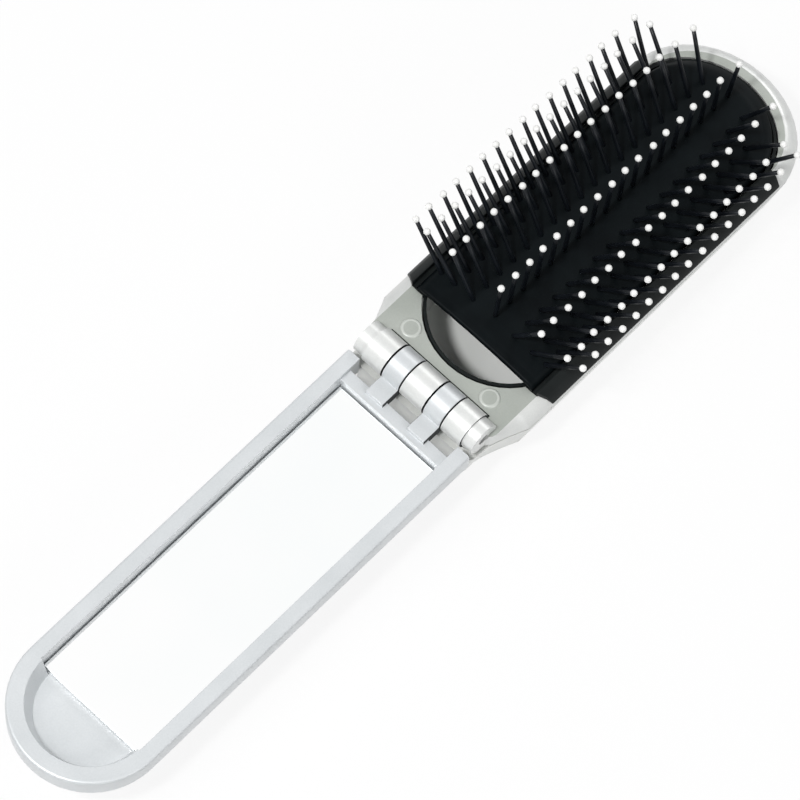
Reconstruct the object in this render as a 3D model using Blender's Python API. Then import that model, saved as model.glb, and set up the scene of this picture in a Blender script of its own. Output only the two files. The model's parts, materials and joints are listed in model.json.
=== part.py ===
"""Folding travel brush with a mirror in its handle.

The brush lies open on its back. X runs along it towards the rounded end of the
head, Y across it and Z up, out of the bristles. The origin is at the middle of
the whole brush, on the surface that it lies on.

The head is a moulded shell closed by a frame, with a soft arched pad in the
frame's opening. Seven rows of ball-tipped pins stand in the pad. The handle is a
shallow tray that holds the mirror, and it folds about a five-knuckle hinge over
the pins, which sink into the hollow head on the way.
"""

import math

import bmesh
import bpy
from mathutils import Matrix, Vector

MM = 0.001

# Driving sizes of the whole brush, measured from the hinge axis
head_reach = 87.0 * MM
handle_reach = 95.4 * MM
head_half_width = 17.3 * MM
head_side_step = 2.9 * MM
handle_depth = 5.7 * MM
handle_half_width = head_half_width - head_side_step

# Fits between pieces
clearance = 0.3 * MM
overrun = 1.0 * MM

# Hinge
barrel_radius = 3.6 * MM
centre_knuckle_half = 2.6 * MM
outer_knuckle_width = 4.45 * MM
ear_radius = 3.2 * MM
ear_length = 2.3 * MM
ear_inset = 0.5 * MM
hinge_pin_radius = 0.8 * MM

# Head frame: a flat plateau that the folded handle lands on, and a slope round it
frame_depth = 3.2 * MM
frame_edge = 0.8 * MM
head_far_depth = 14.5 * MM
slope_width = 2.5 * MM
slope_mid_share = 0.42
slope_mid_height_share = 0.62
slope_least = 0.15 * MM
frame_rail = 2.4 * MM
opening_from_axis = 5.9 * MM
opening_far_inset = 4.1 * MM
opening_far_depth = 12.5 * MM
shoulder_wide_at = 8.3 * MM
shoulder_curve = 1.3
shoulder_corner = 1.6 * MM
stud_radius = 1.57 * MM
stud_from_axis = 6.4 * MM
stud_from_side = 5.1 * MM
stud_depth = 4.7 * MM
stud_rise = 0.3 * MM
stud_chamfer = 0.25 * MM

# Back shell
shell_floor = 1.1 * MM
shell_wall = 1.2 * MM
shell_draft = 2.4 * MM
shell_edge_radius = 3.0 * MM
cavity_from_axis = 6.0 * MM
cavity_edge_radius = 0.4 * MM
floor_room = 0.8 * MM
cradle_drop = 3.6 * MM

# Pad and the trim round it
trim_wall = 0.6 * MM
pad_near_edge = 12.3 * MM
pad_thickness = 0.9 * MM
pad_crown = 2.6 * MM
pad_side_drop = 0.8 * MM
pad_end_slope = 2.2 * MM
pad_end_drop = 1.3 * MM
flange_thickness = 1.2 * MM
flange_crest = 1.6 * MM
flange_tip = 0.5 * MM

# Bristle pins
pin_root_radius = 0.55 * MM
pin_neck_radius = 0.36 * MM
ball_radius = 0.72 * MM
pin_root_sink = 0.5 * MM
end_pin_lean = 1.3 * MM
outer_near_lean_share = 0.3
root_below_pad = 1.9 * MM
centre_root_below_pad = 1.2 * MM
strip_half_width = 0.8 * MM
strip_thickness = 1.0 * MM
strip_end = 0.9 * MM
trunnion_radius = 0.4 * MM
trunnion_length = 0.8 * MM
folded_tip_rise = 1.8 * MM
pin_sides = 6
centre_pin_length = 11.2 * MM
inner_pin_length = 11.5 * MM
middle_pin_length = 12.2 * MM
outer_pin_length = 12.4 * MM
centre_row_from_pad_edge = 5.2 * MM
side_rows_from_pad_edge = 4.7 * MM
centre_row_end_inset = 10.0 * MM
inner_row_end_inset = 11.52 * MM
middle_row_end_inset = 15.28 * MM
outer_row_end_inset = 17.2 * MM
row_place_shares = {"inner": 0.3577, "middle": 0.6715, "outer": 0.8978}

# Carrier that the rows are hung in
carrier_depth = 1.0 * MM
carrier_wall = 1.1 * MM
carrier_rib_top = 0.1 * MM

# Handle tray and mirror
mirror_from_axis = 9.0 * MM
rail_width = 2.8 * MM
pan_edge = 4.6 * MM
mirror_thickness = 1.0 * MM
mirror_below_rim = 3.1 * MM
tape_thickness = 0.25 * MM
tape_inset = 1.5 * MM
crossbar_width = 2.5 * MM
crossbar_below_rim = 1.2 * MM
lug_thickness = 2.4 * MM
handle_edge_radius = 1.8 * MM
rim_round = 0.6 * MM

# Places that follow from the sizes above
hinge_x = (handle_reach - head_reach) / 2
head_far_centre = head_reach - head_far_depth
handle_centre = handle_reach - handle_half_width
opening_half = head_half_width - frame_rail
opening_far_edge = head_reach - opening_far_inset
plateau_half = head_half_width - slope_width
ear_end = handle_half_width - ear_inset
outer_knuckle_outer = ear_end - ear_length
outer_knuckle_inner = outer_knuckle_outer - outer_knuckle_width
rim_inner_radius = handle_half_width - rail_width
pan_floor_radius = handle_half_width - pan_edge
mirror_length = handle_centre - mirror_from_axis
mirror_half_width = rim_inner_radius - clearance
trim_inner_gap = clearance + trim_wall
pad_gap = trim_inner_gap + clearance
pad_half_width = opening_half - pad_gap
knuckle_reach = barrel_radius + clearance
arc_steps = 24


def plan_row(label, place_share, near_inset, end_inset, count, length, open_lean, near_lean_share=1.0):
    """A row of pins: its place, first pin, pitch, its pins' length above the pad, and its splay when open."""
    first = pad_near_edge + near_inset
    return {"label": label, "from_middle": pad_half_width * place_share, "first": first, "count": count,
            "pitch": (head_reach - end_inset - first) / (count - 1), "length": length, "open_lean": open_lean,
            "near_lean": end_pin_lean * near_lean_share}


centre_row = plan_row("centre", 0, centre_row_from_pad_edge, centre_row_end_inset, 18, centre_pin_length, 0)
side_rows = (
    plan_row("inner", row_place_shares["inner"], side_rows_from_pad_edge, inner_row_end_inset,
             18, inner_pin_length, 27),
    plan_row("middle", row_place_shares["middle"], side_rows_from_pad_edge, middle_row_end_inset,
             17, middle_pin_length, 36),
    plan_row("outer", row_place_shares["outer"], side_rows_from_pad_edge, outer_row_end_inset,
             17, outer_pin_length, 36, outer_near_lean_share),
)

# The head is as deep as the sinking carrier needs
carrier_drop = pad_crown + centre_row["length"] - folded_tip_rise
head_depth = shell_floor + floor_room + carrier_depth + carrier_drop
rim_z = head_depth
axis_z = rim_z + clearance / 2
strip_swing = math.hypot(strip_half_width, strip_thickness / 2) + clearance


def clear_scene():
    for old in list(bpy.data.objects):
        bpy.data.objects.remove(old, do_unlink=True)


def make_material(name, colour, roughness, metallic=0.0):
    material = bpy.data.materials.new(name)
    material.use_nodes = True
    shader = material.node_tree.nodes["Principled BSDF"]
    shader.inputs["Base Color"].default_value = (*colour, 1.0)
    shader.inputs["Roughness"].default_value = roughness
    shader.inputs["Metallic"].default_value = metallic
    return material


def make_object(name, mesh_builder, material=None, smooth_degrees=30.0):
    """Turn a finished bmesh into an object with its faces pointing out."""
    bmesh.ops.recalc_face_normals(mesh_builder, faces=mesh_builder.faces)
    mesh = bpy.data.meshes.new(name)
    mesh_builder.to_mesh(mesh)
    mesh_builder.free()
    mesh.shade_smooth()
    mesh.set_sharp_from_angle(angle=math.radians(smooth_degrees))
    thing = bpy.data.objects.new(name, mesh)
    bpy.context.collection.objects.link(thing)
    if material:
        mesh.materials.append(material)
    return thing


def as_tool(thing):
    thing.hide_render = True
    thing.display_type = "WIRE"
    return thing


def combine(thing, tool, operation):
    """Leave a Boolean on the piece, with its tool kept as a hidden guide."""
    as_tool(tool)
    step = thing.modifiers.new(f"{operation.lower()} {tool.name}", "BOOLEAN")
    step.operation = operation
    step.solver = "EXACT"
    step.object = tool


def put_origin(thing, origin):
    """Move the object's origin without moving the piece."""
    place = Vector(origin)
    thing.data.transform(Matrix.Translation(-place))
    thing.location = place


def loft(rings):
    """Skin a stack of loops that hold the same number of points, and close both ends."""
    builder = bmesh.new()
    loops = [[builder.verts.new(point) for point in ring] for ring in rings]
    for lower, upper in zip(loops, loops[1:]):
        for index in range(len(lower)):
            following = (index + 1) % len(lower)
            builder.faces.new((lower[index], lower[following], upper[following], upper[index]))
    builder.faces.new(list(reversed(loops[0])))
    builder.faces.new(loops[-1])
    return builder


def prism(outline, low, high):
    return loft([[(x, y, low) for x, y in outline], [(x, y, high) for x, y in outline]])


def block(x_low, x_high, y_low, y_high, z_low, z_high):
    outline = ((x_low, y_low), (x_high, y_low), (x_high, y_high), (x_low, y_high))
    return prism(outline, z_low, z_high)


def rod_across(radius, y_low, y_high, steps=32):
    """A cylinder about the hinge axis."""
    ring = [(hinge_x + radius * math.cos(turn), axis_z + radius * math.sin(turn))
            for turn in (math.tau * step / steps for step in range(steps))]
    return loft([[(x, y_low, z) for x, z in ring], [(x, y_high, z) for x, z in ring]])


def rod_up(x, y, radius, low, high, steps=24):
    ring = [(x + radius * math.cos(turn), y + radius * math.sin(turn))
            for turn in (math.tau * step / steps for step in range(steps))]
    return prism(ring, low, high)


def arc(centre_x, centre_y, radius, start_degrees, end_degrees, steps):
    turns = [math.radians(start_degrees + (end_degrees - start_degrees) * step / steps)
             for step in range(steps + 1)]
    return [(centre_x + radius * math.cos(turn), centre_y + radius * math.sin(turn)) for turn in turns]


def half_ellipse(centre_x, depth, half_width, start_degrees, steps):
    """Half an ellipse about a point on the middle line, turning left from the angle where it starts."""
    turns = [math.radians(start_degrees + 180 * step / steps) for step in range(steps + 1)]
    return [(centre_x + depth * math.cos(turn), half_width * math.sin(turn)) for turn in turns]


def slot_outline(near_edge, far_edge, half_width, far_depth):
    """A slot whose near end is round and whose far end is an ellipse, measured from the hinge axis."""
    far_end = half_ellipse(hinge_x + far_edge - far_depth, far_depth, half_width, -90, arc_steps)
    near_end = half_ellipse(hinge_x + near_edge + half_width, half_width, half_width, 90, arc_steps)
    return far_end + near_end


def opening_outline(gap):
    """The frame's opening, drawn in by a gap on all sides."""
    return slot_outline(opening_from_axis + gap, opening_far_edge - gap,
                        opening_half - gap, opening_far_depth - gap)


def shoulder_half(x):
    """Half the head's width at a distance from the hinge axis: full width, then drawn in to the hinge."""
    share = min(1, max(0, x / shoulder_wide_at))
    return handle_half_width + (head_half_width - handle_half_width) * share ** shoulder_curve


def head_outline(far_inset, near, half_at):
    """The head seen from above, with its half width given by a function of the distance from the axis."""
    centre = hinge_x + head_far_centre
    far_end = half_ellipse(centre, head_far_depth - far_inset, half_at(head_far_centre), -90, arc_steps)
    side = far_end[arc_steps // 2:]
    shoulder_steps = 10
    for step in range(shoulder_steps + 1):
        x = shoulder_wide_at + (near + shoulder_corner - shoulder_wide_at) * step / shoulder_steps
        side.append((hinge_x + x, half_at(x)))
    corner = arc(hinge_x + near + shoulder_corner, half_at(near) - shoulder_corner,
                 shoulder_corner, 90, 180, 4)
    side += corner[1:]
    return side + [(x, -y) for x, y in reversed(side[1:])]


def inset_outline(inset, near):
    return head_outline(inset, near, lambda x: shoulder_half(x) - inset)


def plateau_outline():
    return head_outline(slope_width, 0, lambda x: min(shoulder_half(x) - slope_least, plateau_half))


def rounded_base_levels(radius, bottom, top, steps=4):
    """Insets and heights of a wall whose lower edge is rounded."""
    turns = [math.radians(90.0 * step / steps) for step in range(steps + 1)]
    levels = [(radius * (1 - math.sin(turn)), bottom + radius * (1 - math.cos(turn))) for turn in turns]
    return levels + [(0, top)]


def pad_height(y):
    """Top of the arched pad above the rim plane."""
    return pad_crown - pad_side_drop * (y / pad_half_width) ** 2


# The head frame: a plate with a sloping rim, a slot-shaped opening and three hinge knuckles
def build_head_frame(material):
    foot = inset_outline(0, 0)
    top = plateau_outline()
    drop = frame_depth - frame_edge
    rings = [[(x, y, rim_z - frame_depth) for x, y in foot]]
    for share, height_share in ((0, 0), (slope_mid_share, slope_mid_height_share), (1, 1)):
        z = rim_z - drop * (1 - height_share)
        rings.append([(low_x + (high_x - low_x) * share, low_y + (high_y - low_y) * share, z)
                      for (low_x, low_y), (high_x, high_y) in zip(foot, top)])
    frame = make_object("head_frame", loft(rings), material)
    for name, radius, reach in (("barrel", barrel_radius, outer_knuckle_outer),
                                ("ears", ear_radius, ear_end)):
        combine(frame, make_object(name, rod_across(radius, -reach, reach)), "UNION")
    combine(frame, make_object("frame_opening", prism(
        opening_outline(0), rim_z - frame_depth - overrun, rim_z + overrun)), "DIFFERENCE")
    for side in (-1, 1):
        pocket = sorted((side * centre_knuckle_half, side * outer_knuckle_inner))
        combine(frame, make_object("knuckle_pocket", rod_across(knuckle_reach, *pocket)), "DIFFERENCE")
        combine(frame, make_object("stud_hole", rod_up(
            hinge_x + stud_from_axis, side * (handle_half_width - stud_from_side), stud_radius + clearance,
            rim_z - frame_depth - overrun, rim_z + overrun)), "DIFFERENCE")
    bore = rod_across(hinge_pin_radius + clearance, -ear_end - overrun, ear_end + overrun, 20)
    combine(frame, make_object("frame_bore", bore), "DIFFERENCE")
    return frame


# The back shell: a deep tray with drafted sides and rounded edges, hollow under the pad
def build_back_shell(material):
    near = -knuckle_reach + clearance
    top = rim_z - frame_depth - clearance

    def draft(z):
        return shell_draft * (1 - z / top)

    outer = [[(x, y, z) for x, y in inset_outline(inset + draft(z), near)]
             for inset, z in rounded_base_levels(shell_edge_radius, 0, top)]
    shell = make_object("back_shell", loft(outer), material)
    hollow = []
    for inset, z in rounded_base_levels(cavity_edge_radius, shell_floor, top) + [(0, top + overrun)]:
        inward = inset + draft(min(z, top)) + shell_wall
        hollow.append([(x, y, z) for x, y in slot_outline(
            cavity_from_axis, head_reach - inward, head_half_width - inward, head_far_depth - inward)])
    combine(shell, make_object("shell_hollow", loft(hollow)), "DIFFERENCE")
    combine(shell, make_object("barrel_cradle", rod_across(
        knuckle_reach, -head_half_width, head_half_width)), "DIFFERENCE")
    combine(shell, make_object("cradle_step", block(
        hinge_x + near - overrun, hinge_x, -head_half_width, head_half_width,
        rim_z - cradle_drop, rim_z + overrun)), "DIFFERENCE")
    for side in (-1, 1):
        combine(shell, make_object("stud_socket", rod_up(
            hinge_x + stud_from_axis, side * (handle_half_width - stud_from_side), stud_radius + clearance,
            rim_z - stud_depth - clearance, rim_z + overrun)), "DIFFERENCE")
    return shell


def build_stud(side_name, side, material):
    """The staked post that holds the frame to the shell; its end shows as a round mark."""
    x = hinge_x + stud_from_axis
    y = side * (handle_half_width - stud_from_side)
    rings = []
    for radius, z in ((stud_radius, rim_z - stud_depth), (stud_radius, rim_z + stud_rise - stud_chamfer),
                      (stud_radius - stud_chamfer, rim_z + stud_rise)):
        rings.append([(x + across, y + along, z) for across, along in arc(0, 0, radius, 0, 345, 23)])
    return make_object(f"frame_stud_{side_name}", loft(rings), material)


# The black trim: a wall that lines the frame's opening, and a flange that follows the slope of each side rail
def build_pad_trim(material):
    trim = make_object("pad_trim", prism(
        opening_outline(clearance), rim_z - frame_depth, rim_z), material)
    combine(trim, make_object("trim_opening", prism(
        opening_outline(trim_inner_gap), rim_z - frame_depth - overrun, rim_z + overrun)), "DIFFERENCE")
    return trim


def build_side_flange(side_name, side, material):
    inner = handle_half_width + clearance
    mid = head_half_width - slope_width * slope_mid_share
    drop = frame_depth - frame_edge
    mid_z = rim_z + clearance - drop * (1 - slope_mid_height_share)
    outer_z = rim_z + clearance - drop
    section = ((inner, rim_z + clearance), (mid, mid_z), (head_half_width, outer_z),
               (head_half_width, outer_z + flange_tip), (mid, mid_z + flange_thickness),
               (inner, rim_z + flange_crest))
    ends = (hinge_x + pad_near_edge, hinge_x + head_far_centre)
    return make_object(f"side_flange_{side_name}", loft(
        [[(x, side * y, z) for y, z in section] for x in ends]), material)


# The soft pad: one arched sheet, with a slot for each strip of pins
def build_bristle_pad(material, rows):
    columns = 14
    stations = 10
    near = hinge_x + pad_near_edge
    far_depth = opening_far_depth - pad_gap
    far_middle = hinge_x + opening_far_edge - opening_far_depth
    builder = bmesh.new()
    top = []
    bottom = []
    for column in range(columns + 1):
        y = pad_half_width * (2 * column / columns - 1)
        far = far_middle + far_depth * math.sqrt(max(0, 1 - (y / pad_half_width) ** 2))
        z = rim_z + pad_height(y)
        slope = far - pad_end_slope
        run = [(near + (slope - near) * station / (stations - 1), z) for station in range(stations)]
        run.append((far, z - pad_end_drop))
        top.append([builder.verts.new((x, y, height)) for x, height in run])
        bottom.append([builder.verts.new((x, y, height - pad_thickness)) for x, height in run])
    for layer in (top, bottom):
        for first, second in zip(layer, layer[1:]):
            for station in range(stations):
                builder.faces.new((first[station], first[station + 1], second[station + 1], second[station]))
    rim_top = top[0] + [run[-1] for run in top[1:]] + list(reversed(top[-1][:-1]))
    rim_bottom = bottom[0] + [run[-1] for run in bottom[1:]] + list(reversed(bottom[-1][:-1]))
    rim_top += [run[0] for run in reversed(top[1:-1])]
    rim_bottom += [run[0] for run in reversed(bottom[1:-1])]
    for index in range(len(rim_top)):
        following = (index + 1) % len(rim_top)
        builder.faces.new((rim_top[index], rim_top[following], rim_bottom[following], rim_bottom[index]))
    pad = make_object("bristle_pad", builder, material)
    for row, side in rows:
        half = pin_root_radius + clearance
        slot = row_prism(row, side, half, half, -(pad_thickness + clearance) * 2, overrun)
        combine(pad, make_object("pad_slot", slot), "DIFFERENCE")
    return pad


def row_line(row, side):
    """Where the row's first pin meets the pad, and which way the pins point while the brush is open."""
    lean = math.radians(row["open_lean"]) * side
    base = Vector((hinge_x + row["first"], side * row["from_middle"], rim_z + pad_height(row["from_middle"])))
    return base, Vector((0, math.sin(lean), math.cos(lean)))


def row_length(row):
    return (row["count"] - 1) * row["pitch"]


def row_prism(row, side, half_width, end, low, high):
    """A straight bar along a row, square to its pins, between two heights along them."""
    base, up = row_line(row, side)
    across = Vector((0, up.z, -up.y))
    corners = ((-half_width, low), (half_width, low), (half_width, high), (-half_width, high))
    rings = []
    for x in (-end, row_length(row) + end):
        rings.append([base + Vector((x, 0, 0)) + across * over + up * height for over, height in corners])
    return loft(rings)


def row_pivot(row, side):
    """The middle of a strip, which its row turns about."""
    base, up = row_line(row, side)
    return base - up * (root_below_pad + strip_thickness / 2)


def rod_along(x_low, x_high, y, z, radius, steps=12):
    ring = [(y + radius * math.cos(turn), z + radius * math.sin(turn))
            for turn in (math.tau * step / steps for step in range(steps))]
    return loft([[(x, across, up) for across, up in ring] for x in (x_low, x_high)])


def add_pin(builder, root, tip):
    """One moulded pin: a tapered shaft that ends in a ball."""
    axis = (tip - root).normalized()
    ball_middle = (tip - root).length - ball_radius
    neck = ball_middle - math.sqrt(ball_radius ** 2 - pin_neck_radius ** 2)
    crown_turn = math.radians(50)
    sideways = axis.cross(Vector((1, 0, 0))).normalized()
    upward = axis.cross(sideways)
    crown = (ball_middle + ball_radius * math.sin(crown_turn), ball_radius * math.cos(crown_turn))
    rings = []
    for along, radius in ((-pin_root_sink, pin_root_radius), (neck, pin_neck_radius),
                          (ball_middle, ball_radius), crown):
        ring = []
        for step in range(pin_sides):
            turn = math.tau * step / pin_sides
            out = sideways * math.cos(turn) + upward * math.sin(turn)
            ring.append(builder.verts.new(root + axis * along + out * radius))
        rings.append(ring)
    apex = builder.verts.new(tip)
    for lower, upper in zip(rings, rings[1:]):
        for index in range(pin_sides):
            following = (index + 1) % pin_sides
            builder.faces.new((lower[index], lower[following], upper[following], upper[index]))
    builder.faces.new(list(reversed(rings[0])))
    for index in range(pin_sides):
        builder.faces.new((rings[-1][index], rings[-1][(index + 1) % pin_sides], apex))


def build_pin_row(name, row, side, sunk, material):
    """A strip with its pins. The pins at both ends lean a little along the brush."""
    strip = make_object(name, row_prism(
        row, side, strip_half_width, strip_end, -sunk - strip_thickness, -sunk), material)
    base, up = row_line(row, side)
    builder = bmesh.new()
    last = row["count"] - 1
    next_pin_share = 0.45
    leans = {0: -row["near_lean"], 1: -row["near_lean"] * next_pin_share,
             last - 1: end_pin_lean * next_pin_share, last: end_pin_lean}
    for index in range(row["count"]):
        root = base - up * sunk + Vector((index * row["pitch"], 0, 0))
        lean = leans.get(index, 0)
        length = row["length"] + sunk
        add_pin(builder, root, root + up * math.sqrt(length ** 2 - lean ** 2) + Vector((lean, 0, 0)))
    combine(strip, make_object(f"{name}_pins", builder), "UNION")
    return strip


def build_side_row(name, row, side, material):
    """A side row turns in the carrier on a short round trunnion at each end of its strip."""
    strip = build_pin_row(name, row, side, root_below_pad, material)
    pivot = row_pivot(row, side)
    reach = strip_end + trunnion_length
    for near, far in ((-reach, -strip_end / 2), (row_length(row) + strip_end / 2, row_length(row) + reach)):
        trunnion = rod_along(pivot.x + near, pivot.x + far, pivot.y, pivot.z, trunnion_radius)
        combine(strip, make_object("trunnion", trunnion), "UNION")
    put_origin(strip, pivot)
    return strip


# The carrier: a ladder of end walls and ribs that sinks into the shell with all the rows
def arched_wall(x, y_low, y_high, steps=6):
    """A wall whose top follows the underside of the pad."""
    top = [(y, rim_z + pad_height(y) - pad_thickness - clearance)
           for y in (y_low + (y_high - y_low) * step / steps for step in range(steps + 1))]
    section = [(y_low, rim_z - carrier_depth), (y_high, rim_z - carrier_depth)] + top[::-1]
    return loft([[(x_end, y, z) for y, z in section] for x_end in (x, x + carrier_wall)])


def build_pin_carrier(material):
    low = rim_z - carrier_depth
    gap = strip_end + clearance
    near = hinge_x + side_rows[0]["first"] - gap - carrier_wall
    pivots = [row_pivot(row, 1).y for row in side_rows]
    far_walls = [hinge_x + row["first"] + row_length(row) + gap for row in side_rows]
    spine_half = pivots[0] - strip_swing
    edge = pivots[-1] + strip_swing
    ribs = [(inner + strip_swing, outer - strip_swing) for inner, outer in zip(pivots, pivots[1:])]
    rib_middles = [(inner + outer) / 2 for inner, outer in ribs]
    spine_top = rim_z + pad_crown - centre_root_below_pad - strip_thickness - clearance
    middle_end = hinge_x + centre_row["first"] + row_length(centre_row) + strip_end
    carrier = make_object("pin_carrier", block(
        near + carrier_wall / 2, middle_end, -spine_half, spine_half, low, spine_top), material)
    combine(carrier, make_object("near_wall", arched_wall(near, -edge, edge, 14)), "UNION")
    far_wall = arched_wall(far_walls[0], -rib_middles[0], rib_middles[0], 8)
    combine(carrier, make_object("far_wall", far_wall), "UNION")
    seat = row_prism(centre_row, 1, strip_half_width + clearance, strip_end + clearance,
                     spine_top - rim_z - pad_crown, overrun)
    combine(carrier, make_object("centre_strip_seat", seat), "DIFFERENCE")
    for side in (-1, 1):
        for span, reach in ((ribs[0], far_walls[0]), (ribs[1], far_walls[1])):
            rib = block(near + carrier_wall / 2, reach + carrier_wall / 2,
                        *sorted((side * span[0], side * span[1])), low, rim_z - carrier_rib_top)
            combine(carrier, make_object("carrier_rib", rib), "UNION")
        for wall_x, inner, outer in ((far_walls[1], rib_middles[0], rib_middles[1]),
                                     (far_walls[2], rib_middles[1], edge)):
            wall = arched_wall(wall_x, *sorted((side * inner, side * outer)))
            combine(carrier, make_object("far_wall", wall), "UNION")
        for row, wall_x in zip(side_rows, far_walls):
            pivot = row_pivot(row, side)
            bore = rod_along(near - overrun, wall_x + carrier_wall + overrun, pivot.y, pivot.z,
                             trunnion_radius + clearance)
            combine(carrier, make_object("trunnion_bore", bore), "DIFFERENCE")
    return carrier


# The handle: a shallow tray with a round end, a crossbar and two hinge knuckles
def handle_outline(radius, near):
    """The handle seen from above, its round end away from the hinge."""
    straight = [(hinge_x - near, -radius), (hinge_x - near, radius)]
    return straight + arc(hinge_x - handle_centre, 0, radius, 90, 270, arc_steps)


def build_handle_frame(material):
    near = knuckle_reach
    bottom = rim_z - handle_depth
    levels = rounded_base_levels(handle_edge_radius, bottom, rim_z - rim_round)
    half_turn = math.radians(45)
    levels += [(rim_round * (1 - math.cos(half_turn)), rim_z - rim_round * (1 - math.sin(half_turn))),
               (rim_round, rim_z)]
    body = [[(x, y, z) for x, y in handle_outline(handle_half_width - inset, near)] for inset, z in levels]
    handle = make_object("handle_frame", loft(body), material)

    floor_z = rim_z - mirror_below_rim - mirror_thickness - clearance
    mirror_near = handle_centre - mirror_length
    recess = [[(x, y, z) for x, y in handle_outline(radius, mirror_near - clearance)]
              for radius, z in ((pan_floor_radius, floor_z), (rim_inner_radius, rim_z + overrun))]
    combine(handle, make_object("pan_hollow", loft(recess)), "DIFFERENCE")
    combine(handle, make_object("mirror_pocket", block(
        hinge_x - handle_centre - clearance, hinge_x - mirror_near + clearance,
        -mirror_half_width - clearance, mirror_half_width + clearance,
        floor_z, rim_z + overrun)), "DIFFERENCE")
    combine(handle, make_object("tape_pocket", block(
        hinge_x - handle_centre + tape_inset - clearance, hinge_x - mirror_near - tape_inset + clearance,
        tape_inset - mirror_half_width - clearance, mirror_half_width - tape_inset + clearance,
        floor_z - tape_thickness - clearance, floor_z + overrun)), "DIFFERENCE")

    bar_near = mirror_near - clearance - crossbar_width
    combine(handle, make_object("crossbar_top", block(
        hinge_x - mirror_near, hinge_x - bar_near, -rim_inner_radius, rim_inner_radius,
        rim_z - crossbar_below_rim, rim_z + overrun)), "DIFFERENCE")
    combine(handle, make_object("hinge_window", block(
        hinge_x - bar_near, hinge_x - near + overrun, -rim_inner_radius, rim_inner_radius,
        bottom - overrun, rim_z + overrun)), "DIFFERENCE")
    for side in (-1, 1):
        span = sorted((side * (centre_knuckle_half + clearance), side * (outer_knuckle_inner - clearance)))
        combine(handle, make_object("lug_blank", block(
            hinge_x - bar_near - crossbar_width / 2, hinge_x, *span,
            rim_z - lug_thickness - clearance, rim_z - clearance / 2)), "UNION")
        combine(handle, make_object("handle_knuckle", rod_across(barrel_radius, *span)), "UNION")
    bore = rod_across(hinge_pin_radius + clearance, -ear_end, ear_end, 20)
    combine(handle, make_object("handle_bore", bore), "DIFFERENCE")
    return handle


def build_mirror(material):
    top = rim_z - mirror_below_rim
    return make_object("mirror_glass", block(
        hinge_x - handle_centre, hinge_x - handle_centre + mirror_length,
        -mirror_half_width, mirror_half_width, top - mirror_thickness, top), material)


def build_mirror_tape(material):
    top = rim_z - mirror_below_rim - mirror_thickness - clearance
    return make_object("mirror_tape", block(
        hinge_x - handle_centre + tape_inset, hinge_x - handle_centre + mirror_length - tape_inset,
        tape_inset - mirror_half_width, mirror_half_width - tape_inset, top - tape_thickness, top), material)


def build_hinge_pin(material):
    return make_object("hinge_pin", rod_across(
        hinge_pin_radius, clearance - ear_end, ear_end - clearance, 20), material)


def main():
    clear_scene()
    silver = make_material("silver_abs", (0.56, 0.57, 0.55), 0.35, 0.25)
    pale_silver = make_material("pale_silver_abs", (0.72, 0.73, 0.74), 0.32, 0.25)
    black = make_material("black_pad", (0.012, 0.014, 0.015), 0.38)
    pins_black = make_material("black_nylon_pins", (0.01, 0.011, 0.014), 0.3)
    glass = make_material("mirror_silver", (0.9, 0.92, 0.93), 0.03, 1.0)
    steel = make_material("steel_pin", (0.6, 0.6, 0.6), 0.25, 1.0)
    tape = make_material("white_tape", (0.8, 0.8, 0.78), 0.8)
    grey = make_material("grey_acetal", (0.2, 0.2, 0.2), 0.45)

    hinge = bpy.data.objects.new("hinge_axis", None)
    bpy.context.collection.objects.link(hinge)
    hinge.location = (hinge_x, 0, axis_z)

    build_head_frame(silver)
    build_back_shell(silver)
    build_pad_trim(black)
    build_hinge_pin(steel)
    for side_name, side in (("left", 1), ("right", -1)):
        build_stud(side_name, side, silver)
        build_side_flange(side_name, side, black)

    rows = [(centre_row, 1)]
    build_pin_carrier(grey)
    build_pin_row("pin_row_centre", centre_row, 1, centre_root_below_pad, pins_black)
    for row in side_rows:
        for side_name, side in (("left", 1), ("right", -1)):
            rows.append((row, side))
            build_side_row(f"pin_row_{row['label']}_{side_name}", row, side, pins_black)
    build_bristle_pad(black, rows)

    for piece in (build_handle_frame(pale_silver), build_mirror(glass), build_mirror_tape(tape)):
        put_origin(piece, hinge.location)
        piece.parent = hinge
        piece.location = (0, 0, 0)


main()
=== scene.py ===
"""The folding travel brush, dressed: paints, ball-tipped pins, the soft pad, camera and light."""

import json
import math
from collections import namedtuple

import bmesh
import bpy
from mathutils import Matrix, Vector


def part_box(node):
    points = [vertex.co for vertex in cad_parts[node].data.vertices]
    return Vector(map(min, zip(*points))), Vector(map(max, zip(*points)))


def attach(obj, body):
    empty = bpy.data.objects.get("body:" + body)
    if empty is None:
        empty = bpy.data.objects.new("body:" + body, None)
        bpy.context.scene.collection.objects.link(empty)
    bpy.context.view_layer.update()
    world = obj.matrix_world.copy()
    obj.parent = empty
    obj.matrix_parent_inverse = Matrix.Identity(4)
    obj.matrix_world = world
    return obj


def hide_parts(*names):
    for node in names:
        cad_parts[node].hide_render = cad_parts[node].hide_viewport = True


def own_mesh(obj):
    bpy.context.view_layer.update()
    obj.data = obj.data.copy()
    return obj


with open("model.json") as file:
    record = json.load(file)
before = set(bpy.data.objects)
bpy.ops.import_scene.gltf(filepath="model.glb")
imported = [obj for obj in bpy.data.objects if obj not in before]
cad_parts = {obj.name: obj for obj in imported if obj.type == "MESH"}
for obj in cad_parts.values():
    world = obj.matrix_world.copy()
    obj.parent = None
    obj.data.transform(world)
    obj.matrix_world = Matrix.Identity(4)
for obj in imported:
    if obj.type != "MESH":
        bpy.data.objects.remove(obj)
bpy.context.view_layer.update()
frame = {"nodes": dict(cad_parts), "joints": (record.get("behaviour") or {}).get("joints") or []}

MM = 0.001

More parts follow.
